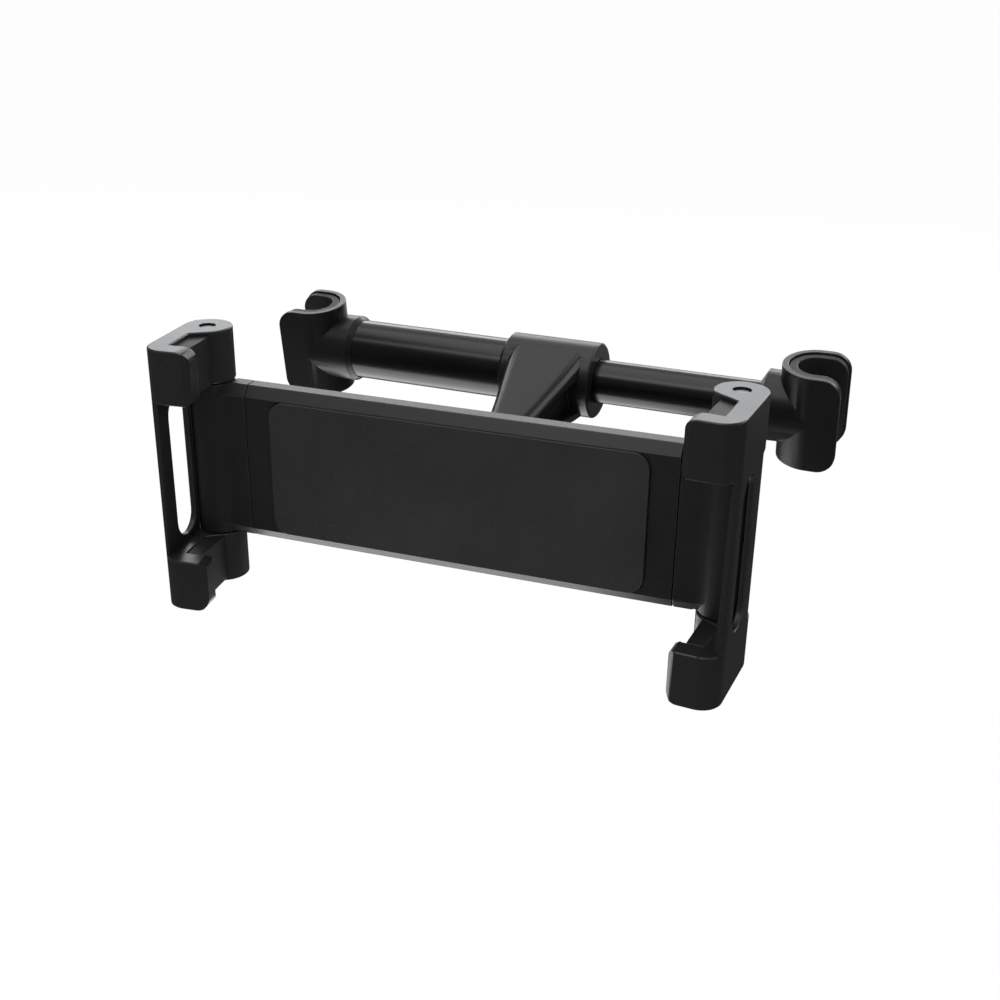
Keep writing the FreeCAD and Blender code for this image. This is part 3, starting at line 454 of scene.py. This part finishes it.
def combined(mesh, other, how):
    base = bpy.data.objects.new("work_base", mesh)
    tool = bpy.data.objects.new("work_tool", other)
    for obj in (base, tool):
        bpy.context.scene.collection.objects.link(obj)
    step = base.modifiers.new("join", "BOOLEAN")
    step.operation = how
    step.solver = "EXACT"
    step.object = tool
    result = shaped(base)
    for obj in (base, tool):
        bpy.data.objects.remove(obj)
    return result


def wall_plan():
    points = [(6.1226, -0.58), (wall_outer, corner_y)]
    points += [(corner_x + corner_radius * cos(a), corner_y - corner_radius * sin(a))
               for a in (0.128, 0.256, 0.384, 0.513)]
    points += [(wall_inner + 0.001, wall_front)]
    turns = [barrel_first * (1 - k / 6) + k / 6 * barrel_last for k in range(6)]
    return points + [(barrel_radius * cos(a), barrel_radius * sin(a)) for a in turns]


def slot_shape():
    middle = (slot_front + slot_back) / 2
    tip = slot_reach - slot_radius
    half_turn = [k * pi / 12 for k in range(13)]
    ring = [(middle + slot_radius * cos(a), tip + slot_radius * sin(a)) for a in half_turn]
    ring += [(middle - slot_radius * cos(a), -tip - slot_radius * sin(a)) for a in half_turn]
    return [(2.0, y, z) for y, z in ring]


def at_pin(place):
    return Vector((abs(place.x) - pin_x * mm, place.y - pin_y * mm)).length < pin_rim


for side, hand in ((-1, "left"), (1, "right")):
    room_plan = [(-20, -40), (20, -40), (20, 20), (-20, 20)]
    room = block_of([(x, y, -block_start) for x, y in room_plan], (0, 0, 2 * block_start), side)
    wall_height = 2 * block_start + 2 * wall_overlap
    wall = block_of([(x, y, -block_start - wall_overlap) for x, y in wall_plan()], (0, 0, wall_height), side)
    wall = combined(wall, block_of(slot_shape(), (8.0, 0, 0), side), "DIFFERENCE")
    jaw = combined(combined(clean_copy(hand + "_jaw"), room, "DIFFERENCE"), wall, "UNION")
    shape = bmesh.new()
    shape.from_mesh(jaw)
    merge_flats(shape)
    shape.to_mesh(jaw)
    shape.free()
    rounded(hand + "_jaw", hand + "_grip", 0.0004, mesh=jaw, keep_sharp=at_pin)

jaw_black = finish("jaw_glass_nylon", (0.0155, 0.0155, 0.0157), 0.33, 0.24, 2600.0, shine=0.44)
dress(jaw_black, nylon_edge, "left_jaw", "right_jaw")


# Pins of the jaws
# A plated steel pin goes through both blocks of a jaw and the barrel of the arm, with its
# head in a recess of the upper block.
pin_steel = finish("plated_pin_steel", (0.16, 0.16, 0.165), 0.42, 0.20, 900.0, metallic=1.0)
dress(pin_steel, pin_steel, "left_jaw_pin", "right_jaw_pin")


# Rubber inserts of the jaws
# Four moulded pieces of rubber sit in the pockets of the jaw blocks, where the edges of
# the tablet rest.
insert_rubber = finish("insert_rubber", (0.011, 0.011, 0.0115), 0.55, 0.40, 1800.0, shine=0.38)
# Their rounded edges are painted a little paler, a painted highlight.
insert_edge = finish("insert_edge_rubber", (0.014, 0.014, 0.0145), 0.42, 0.30, 1800.0, shine=0.45)
for hand in ("left", "right"):
    for block in ("upper", "lower"):
        insert = hand + "_" + block + "_pad"
        rounded(insert, hand + "_grip", 0.00025)
        dress(insert_rubber, insert_edge, insert)


# Ball joint
# A steel ball on a stud turns in a shell of natural nylon. A nut with scallops, moulded in
# the same nylon as the body, holds them in the cup of the cover.
rounded("ball_nut", "joint_nut", 0.0003)
dress(nylon_black, nylon_edge, "ball_nut")
dress(natural_nylon, natural_nylon, "ball_liner")
dress(ground_steel, ground_steel, "ball_stud")


# Collar and its arm
# Cast in one piece and powder coated in satin black. The arm has a hollow in each side,
# and the web between the hollows is carried on here to their front end.
def on_bar(x, y, z):
    arm_reach, ball_drop, ball_y = 52.65, 0.66, 21.95
    tilted = Matrix.Rotation(radians(8.46), 3, "X") @ Vector((x, y + arm_reach, z + ball_drop))
    return (Matrix.Rotation(radians(-2.45), 3, "Z") @ tilted + Vector((0, ball_y, 0))) * mm


web_end = [(-4.1, -30.2), (4.1, -30.2), (4.4, -27.5), (-4.4, -27.5)]
web_low, web_high = -3.2, 3.3
web = prism([on_bar(x, y, web_low) for x, y in web_end], [on_bar(x, y, web_high) for x, y in web_end])
arm = combined(clean_copy("collar_arm"), web, "UNION")
rounded("collar_arm", "post_bar", 0.0002, mesh=arm)
cast_black = finish("cast_arm_paint", (0.0065, 0.0065, 0.0068), 0.36, 0.22, 1700.0)
# Its rounded edges are painted paler than the coat, a painted highlight.
cast_edge = finish("arm_edge_painted_highlight", (0.014, 0.014, 0.0145), 0.28, 0.12, 1700.0)
dress(cast_black, cast_edge, "collar_arm")


# Tubes and bushes
# Two steel tubes, powder coated in satin black. The thin one slides in the thick one on
# two bushes of natural nylon.
bar_black = finish("satin_bar_paint", (0.002, 0.002, 0.0022), 0.24, 0.05, 1400.0)
dress(bar_black, bar_black, "outer_tube", "inner_tube")
dress(natural_nylon, natural_nylon, "mouth_bush", "guide_bush")


# Bar spring
# A coil of steel wire inside the outer tube. One end stands in the socket of the left hook
# and the other on the guide bush, so the coil shortens when the bar is pushed in.
coil_mesh = nodes["bar_spring"].data.copy()
coil_mesh.materials.clear()
coil_mesh.materials.append(None)
coil_mesh.materials.append(None)
coil = bpy.data.objects.new("bar_spring_shown", coil_mesh)
bpy.context.scene.collection.objects.link(coil)
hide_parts("bar_spring")
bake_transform(coil)
shown["bar_spring"] = coil
dress(ground_steel, ground_steel, "bar_spring")


# Hooks and their liners
# The hooks are moulded in nylon and pressed on the ends of the tubes. A liner of the same
# rubber as the inserts lies in each, against the post.
hook_black = finish("hook_nylon", (0.0055, 0.0055, 0.0057), 0.34, 0.22, 2200.0, shine=0.45)
# Their rounded rims are painted paler, a painted highlight.
hook_edge = finish("hook_edge_painted_highlight", (0.012, 0.012, 0.0125), 0.25, 0.12, 2200.0)
for hand, body in (("left", "post_bar"), ("right", "bar_slider")):
    rounded(hand + "_hook", body, 0.00022)
    rounded(hand + "_hook_liner", body, 0.0003)
    dress(hook_black, hook_edge, hand + "_hook")
    dress(insert_rubber, insert_edge, hand + "_hook_liner")
